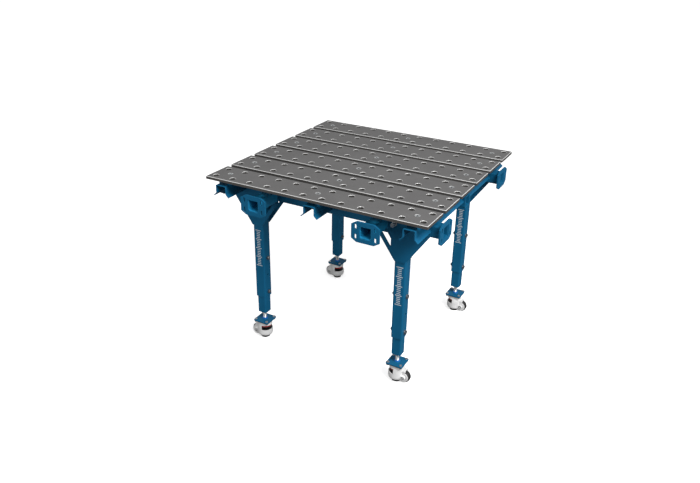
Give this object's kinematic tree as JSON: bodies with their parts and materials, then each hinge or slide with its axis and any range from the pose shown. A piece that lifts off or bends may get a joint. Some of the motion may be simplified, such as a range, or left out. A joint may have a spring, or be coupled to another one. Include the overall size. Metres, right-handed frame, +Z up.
{
  "type": "welding table",
  "caption": "Welding and fixturing table: slatted steel top with a grid of fixture holes, square receiver sockets all round, telescopic legs and levelling casters.",
  "frame": {"origin": "on the floor under the middle of the worktop", "axes": "+X to the right along the slats, +Y to the back, +Z up"},
  "size_m": [1.2, 1.2, 0.958],
  "materials": {
    "frame_paint": "satin petrol blue paint",
    "slat_steel": "satin grey hardened steel with bright chamfers",
    "zinc": "bright zinc plating",
    "dark_steel": "blackened steel",
    "housing": "light grey coated die casting",
    "wheel": "black nylon",
    "thumbwheel": "red plastic",
    "pad": "black rubber"
  },
  "bodies": {
    "table_frame": {"slat_1": "slat_steel", "slat_2": "slat_steel", "slat_3": "slat_steel", "slat_4": "slat_steel", "slat_5": "slat_steel", "slat_6": "slat_steel", "slat_screws": "zinc", "slat_spacers": "zinc", "beams": "frame_paint", "crossbar_front": "frame_paint", "crossbar_middle": "frame_paint", "crossbar_back": "frame_paint", "receiver_tubes": "frame_paint", "receiver_flanges": "frame_paint", "outer_leg_plates": "frame_paint", "inner_leg_plates": "frame_paint", "outer_legs": "frame_paint", "leg_bolts": "dark_steel", "earth_bolt": "zinc"},
    "leg_fl": {"inner_leg_fl": "frame_paint", "lock_nut_fl": "zinc"},
    "foot_fl": {"foot_stud_fl": "zinc", "foot_plate_fl": "frame_paint", "foot_bolts_fl": "zinc", "caster_plate_fl": "dark_steel"},
    "caster_fl": {"caster_housing_fl": "housing"},
    "wheel_fl": {"caster_wheel_fl": "wheel"},
    "thumbwheel_fl": {"thumbwheel_fl": "thumbwheel"},
    "pad_fl": {"levelling_pad_fl": "pad"},
    "leg_fr": {"inner_leg_fr": "frame_paint", "lock_nut_fr": "zinc"},
    "foot_fr": {"foot_stud_fr": "zinc", "foot_plate_fr": "frame_paint", "foot_bolts_fr": "zinc", "caster_plate_fr": "dark_steel"},
    "caster_fr": {"caster_housing_fr": "housing"},
    "wheel_fr": {"caster_wheel_fr": "wheel"},
    "thumbwheel_fr": {"thumbwheel_fr": "thumbwheel"},
    "pad_fr": {"levelling_pad_fr": "pad"},
    "leg_bl": {"inner_leg_bl": "frame_paint", "lock_nut_bl": "zinc"},
    "foot_bl": {"foot_stud_bl": "zinc", "foot_plate_bl": "frame_paint", "foot_bolts_bl": "zinc", "caster_plate_bl": "dark_steel"},
    "caster_bl": {"caster_housing_bl": "housing"},
    "wheel_bl": {"caster_wheel_bl": "wheel"},
    "thumbwheel_bl": {"thumbwheel_bl": "thumbwheel"},
    "pad_bl": {"levelling_pad_bl": "pad"},
    "leg_br": {"inner_leg_br": "frame_paint", "lock_nut_br": "zinc"},
    "foot_br": {"foot_stud_br": "zinc", "foot_plate_br": "frame_paint", "foot_bolts_br": "zinc", "caster_plate_br": "dark_steel"},
    "caster_br": {"caster_housing_br": "housing"},
    "wheel_br": {"caster_wheel_br": "wheel"},
    "thumbwheel_br": {"thumbwheel_br": "thumbwheel"},
    "pad_br": {"levelling_pad_br": "pad"}
  },
  "joints": [
    {"name": "leg_slide_fl", "type": "slide", "parent": "table_frame", "child": "leg_fl", "axis": [0, 0, -1], "range_m": [0, 0.2]},
    {"name": "foot_slide_fl", "type": "slide", "parent": "leg_fl", "child": "foot_fl", "axis": [0, 0, -1], "range_m": [-0.025, 0.025]},
    {"name": "caster_swivel_fl", "type": "hinge", "parent": "foot_fl", "child": "caster_fl", "pos_m": [-0.4, -0.4, 0.097], "axis": [0, 0, 1], "continuous": true},
    {"name": "wheel_spin_fl", "type": "hinge", "parent": "caster_fl", "child": "wheel_fl", "pos_m": [-0.444, -0.4, 0.0335], "axis": [0, 1, 0], "continuous": true},
    {"name": "thumbwheel_turn_fl", "type": "hinge", "parent": "caster_fl", "child": "thumbwheel_fl", "pos_m": [-0.4, -0.4, 0.0729], "axis": [0, 0, 1], "range_deg": [-540, 1440]},
    {"name": "pad_travel_fl", "type": "slide", "parent": "caster_fl", "child": "pad_fl", "axis": [0, 0, -1], "range_m": [-0.003, 0.008]},
    {"name": "leg_slide_fr", "type": "slide", "parent": "table_frame", "child": "leg_fr", "axis": [0, 0, -1], "range_m": [0, 0.2]},
    {"name": "foot_slide_fr", "type": "slide", "parent": "leg_fr", "child": "foot_fr", "axis": [0, 0, -1], "range_m": [-0.025, 0.025]},
    {"name": "caster_swivel_fr", "type": "hinge", "parent": "foot_fr", "child": "caster_fr", "pos_m": [0.4, -0.4, 0.097], "axis": [0, 0, 1], "continuous": true},
    {"name": "wheel_spin_fr", "type": "hinge", "parent": "caster_fr", "child": "wheel_fr", "pos_m": [0.444, -0.4, 0.0335], "axis": [0, 1, 0], "continuous": true},
    {"name": "thumbwheel_turn_fr", "type": "hinge", "parent": "caster_fr", "child": "thumbwheel_fr", "pos_m": [0.4, -0.4, 0.0729], "axis": [0, 0, 1], "range_deg": [-540, 1440]},
    {"name": "pad_travel_fr", "type": "slide", "parent": "caster_fr", "child": "pad_fr", "axis": [0, 0, -1], "range_m": [-0.003, 0.008]},
    {"name": "leg_slide_bl", "type": "slide", "parent": "table_frame", "child": "leg_bl", "axis": [0, 0, -1], "range_m": [0, 0.2]},
    {"name": "foot_slide_bl", "type": "slide", "parent": "leg_bl", "child": "foot_bl", "axis": [0, 0, -1], "range_m": [-0.025, 0.025]},
    {"name": "caster_swivel_bl", "type": "hinge", "parent": "foot_bl", "child": "caster_bl", "pos_m": [-0.4, 0.4, 0.097], "axis": [0, 0, 1], "continuous": true},
    {"name": "wheel_spin_bl", "type": "hinge", "parent": "caster_bl", "child": "wheel_bl", "pos_m": [-0.444, 0.4, 0.0335], "axis": [0, 1, 0], "continuous": true},
    {"name": "thumbwheel_turn_bl", "type": "hinge", "parent": "caster_bl", "child": "thumbwheel_bl", "pos_m": [-0.4, 0.4, 0.0729], "axis": [0, 0, 1], "range_deg": [-540, 1440]},
    {"name": "pad_travel_bl", "type": "slide", "parent": "caster_bl", "child": "pad_bl", "axis": [0, 0, -1], "range_m": [-0.003, 0.008]},
    {"name": "leg_slide_br", "type": "slide", "parent": "table_frame", "child": "leg_br", "axis": [0, 0, -1], "range_m": [0, 0.2]},
    {"name": "foot_slide_br", "type": "slide", "parent": "leg_br", "child": "foot_br", "axis": [0, 0, -1], "range_m": [-0.025, 0.025]},
    {"name": "caster_swivel_br", "type": "hinge", "parent": "foot_br", "child": "caster_br", "pos_m": [0.4, 0.4, 0.097], "axis": [0, 0, 1], "continuous": true},
    {"name": "wheel_spin_br", "type": "hinge", "parent": "caster_br", "child": "wheel_br", "pos_m": [0.444, 0.4, 0.0335], "axis": [0, 1, 0], "continuous": true},
    {"name": "thumbwheel_turn_br", "type": "hinge", "parent": "caster_br", "child": "thumbwheel_br", "pos_m": [0.4, 0.4, 0.0729], "axis": [0, 0, 1], "range_deg": [-540, 1440]},
    {"name": "pad_travel_br", "type": "slide", "parent": "caster_br", "child": "pad_br", "axis": [0, 0, -1], "range_m": [-0.003, 0.008]}
  ],
  "couplings": [
    {"joint": "pad_travel_fl", "follows": "thumbwheel_turn_fl", "m_per_rad": 0.00031831},
    {"joint": "pad_travel_fr", "follows": "thumbwheel_turn_fr", "m_per_rad": 0.00031831},
    {"joint": "pad_travel_bl", "follows": "thumbwheel_turn_bl", "m_per_rad": 0.00031831},
    {"joint": "pad_travel_br", "follows": "thumbwheel_turn_br", "m_per_rad": 0.00031831}
  ]
}
